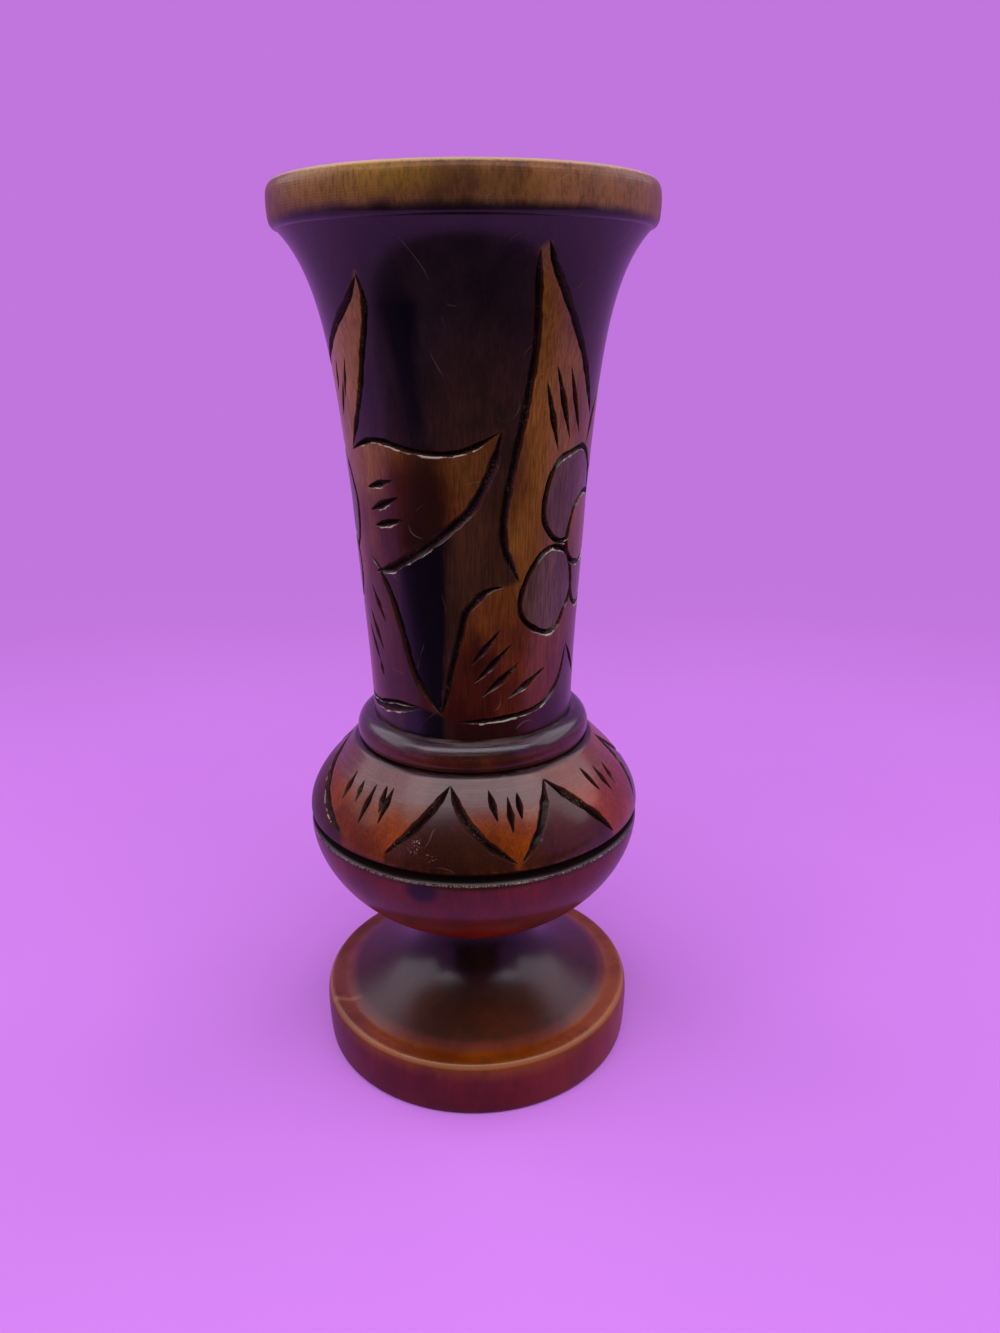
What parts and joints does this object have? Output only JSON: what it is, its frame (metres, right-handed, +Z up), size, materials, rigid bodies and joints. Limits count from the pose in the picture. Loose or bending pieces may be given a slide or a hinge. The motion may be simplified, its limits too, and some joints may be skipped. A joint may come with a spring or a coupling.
{
  "type": "vase",
  "caption": "Turned wooden vase with a flared, bored neck, a half-round collar ring, a hollow belly in two rebated cups and a coved pedestal foot; for dried or artificial stems.",
  "frame": {"origin": "centre of the foot's flat underside, where the vase stands", "axes": "+Z up along the turning axis; -Y is the side that the picture shows, +X to its right"},
  "size_m": [0.0804, 0.0804, 0.203],
  "materials": {
    "foot_wood": "amber-brown stained hardwood under satin-gloss lacquer",
    "bowl_wood": "red-brown stained hardwood under satin-gloss lacquer, with a small knot",
    "shoulder_wood": "orange-brown and dark brown stained fields between carved lines, lacquered",
    "ring_wood": "dark brown stained hardwood, glossy lacquer",
    "neck_wood": "dark brown ground with warm orange-brown carved leaves, amber rim, lacquered"
  },
  "bodies": {
    "root": {"foot": "foot_wood", "belly_lower": "bowl_wood", "belly_upper": "shoulder_wood", "collar_ring": "ring_wood", "neck": "neck_wood"}
  },
  "joints": []
}
